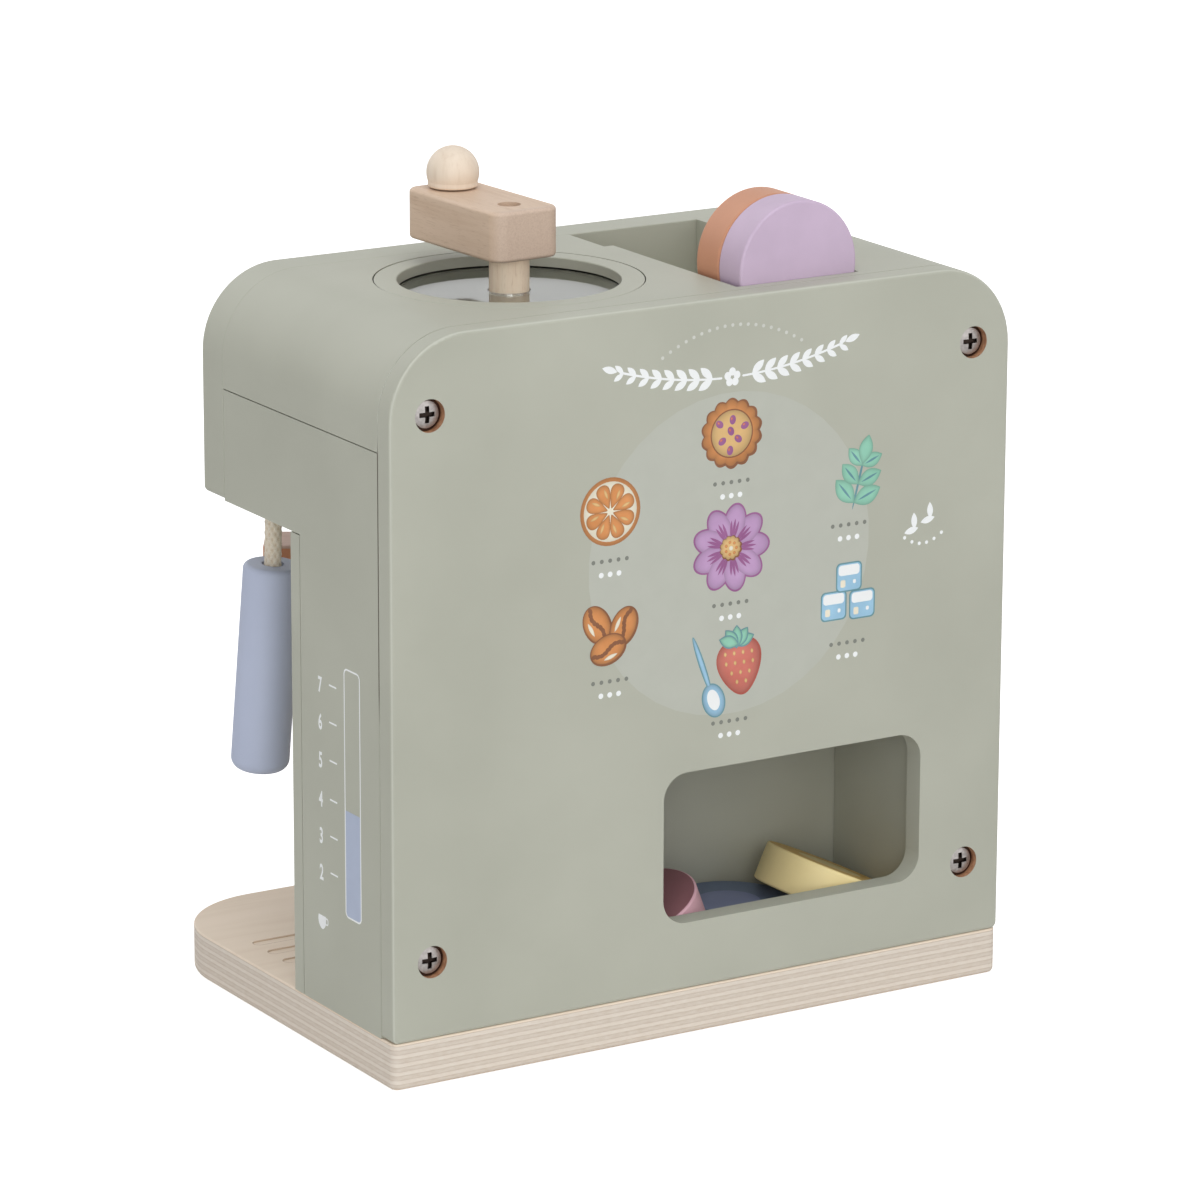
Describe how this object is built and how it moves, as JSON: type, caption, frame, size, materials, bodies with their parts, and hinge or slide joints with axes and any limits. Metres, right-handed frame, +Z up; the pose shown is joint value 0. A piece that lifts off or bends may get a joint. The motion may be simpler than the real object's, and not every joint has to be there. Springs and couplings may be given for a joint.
{
  "type": "toy coffee maker",
  "caption": "Boxy painted wooden toy espresso machine with a top hand crank grinder, pod well, rear pod window, steam wand on a rope, portafilter, push buttons and a dial.",
  "frame": {"origin": "middle of the base's underside", "axes": "+Z up; +Y towards the menu panel with the pod window; -Y towards the cup side; +X towards the side with the water gauge"},
  "size_m": [0.24, 0.167, 0.2913],
  "materials": {
    "birch_ply": "clear lacquer",
    "sage_paint": "satin sage green paint",
    "clear_acrylic": "clear",
    "beech": "clear matt lacquer",
    "zinc_steel": "bright zinc",
    "lilac_paint": "satin lilac paint",
    "terracotta_paint": "satin terracotta paint",
    "navy_paint": "satin blue-grey paint",
    "yellow_paint": "satin yellow paint",
    "rose_paint": "satin dusty rose paint",
    "cotton_rope": "braided cotton",
    "slate_paint": "satin slate blue paint",
    "magnet_nickel": "nickel plate"
  },
  "bodies": {
    "machine": {"base_plate": "birch_ply", "back_panel": "sage_paint", "front_panel": "sage_paint", "hood_block": "sage_paint", "gauge_side_board": "sage_paint", "plain_side_board": "sage_paint", "column_board": "sage_paint", "head_floor": "sage_paint", "hopper_floor": "birch_ply", "chamber_divider": "sage_paint", "chute_wall": "sage_paint", "grinder_ring": "sage_paint", "grinder_window": "clear_acrylic", "rope_top_knot": "cotton_rope", "group_head": "rose_paint", "group_screws": "zinc_steel", "disc_pivot": "beech", "button_batten": "birch_ply", "batten_screws": "zinc_steel", "panel_screws": "zinc_steel", "base_screws": "zinc_steel", "hopper_screws": "zinc_steel", "hood_dowels": "beech", "front_dowels": "beech", "left_spring": "zinc_steel", "right_spring": "zinc_steel"},
    "crank": {"crank_shaft": "beech", "bean_paddle": "beech", "shaft_washer": "birch_ply", "shaft_screw": "zinc_steel", "crank_arm": "beech", "arm_screw": "zinc_steel", "knob_pin": "zinc_steel"},
    "crank_knob": {"crank_knob": "beech"},
    "steam_wand": {"steam_rope": "cotton_rope", "steam_handle": "slate_paint", "rope_end_knot": "cotton_rope"},
    "group_disc": {"group_disc": "birch_ply", "disc_magnets": "magnet_nickel"},
    "portafilter": {"portafilter_bowl": "terracotta_paint", "bowl_magnets": "magnet_nickel", "portafilter_handle": "beech", "handle_dowel": "beech", "twin_spout": "birch_ply"},
    "selector": {"selector_dial": "lilac_paint", "selector_spindle": "beech", "spindle_washer": "birch_ply", "spindle_screw": "zinc_steel"},
    "left_button": {"left_button": "navy_paint"},
    "right_button": {"right_button": "terracotta_paint"},
    "pod_lilac": {"pod_lilac": "lilac_paint"},
    "pod_terracotta": {"pod_terracotta": "terracotta_paint"},
    "pod_navy": {"pod_navy": "navy_paint"},
    "pod_yellow": {"pod_yellow": "yellow_paint"},
    "pod_rose": {"pod_rose": "rose_paint"}
  },
  "joints": [
    {"name": "crank_turn", "type": "hinge", "parent": "machine", "child": "crank", "pos_m": [0.0395, 0.0217, 0.252], "axis": [0, 0, 1], "continuous": true},
    {"name": "knob_spin", "type": "hinge", "parent": "crank", "child": "crank_knob", "pos_m": [0.0414, -0.01225, 0.28], "axis": [0, 0, 1], "continuous": true},
    {"name": "steam_wand_swing", "type": "hinge", "parent": "machine", "child": "steam_wand", "pos_m": [0.104, -0.025, 0.1752], "axis": [1, 0, 0], "range_deg": [-50, 18]},
    {"name": "group_disc_turn", "type": "hinge", "parent": "machine", "child": "group_disc", "pos_m": [0, -0.013, 0.1532], "axis": [0, 0, 1], "range_deg": [-95, 0]},
    {"name": "portafilter_drop", "type": "slide", "parent": "group_disc", "child": "portafilter", "axis": [0, 0, -1], "range_m": [0, 0.06]},
    {"name": "selector_turn", "type": "hinge", "parent": "machine", "child": "selector", "pos_m": [0, -0.0485, 0.1957], "axis": [0, -1, 0], "range_deg": [-135, 135]},
    {"name": "left_button_press", "type": "slide", "parent": "machine", "child": "left_button", "axis": [0, 1, 0], "range_m": [0, 0.004], "stiffness_N_per_m": 300, "springref_m": -0.004, "deforming": ["left_spring"]},
    {"name": "right_button_press", "type": "slide", "parent": "machine", "child": "right_button", "axis": [0, 1, 0], "range_m": [0, 0.004], "stiffness_N_per_m": 300, "springref_m": -0.004, "deforming": ["right_spring"]},
    {"name": "pod_lilac_lift", "type": "slide", "parent": "machine", "child": "pod_lilac", "axis": [0, 0, 1], "range_m": [0, 0.045]},
    {"name": "pod_terracotta_lift", "type": "slide", "parent": "machine", "child": "pod_terracotta", "axis": [0, 0, 1], "range_m": [0, 0.045]},
    {"name": "pod_navy_slide", "type": "slide", "parent": "machine", "child": "pod_navy", "axis": [0, 1, 0], "range_m": [0, 0.006]},
    {"name": "pod_yellow_lift", "type": "slide", "parent": "machine", "child": "pod_yellow", "axis": [0, 0, 1], "range_m": [0, 0.05]},
    {"name": "pod_rose_lift", "type": "slide", "parent": "machine", "child": "pod_rose", "axis": [0, 0, 1], "range_m": [0, 0.05]}
  ]
}
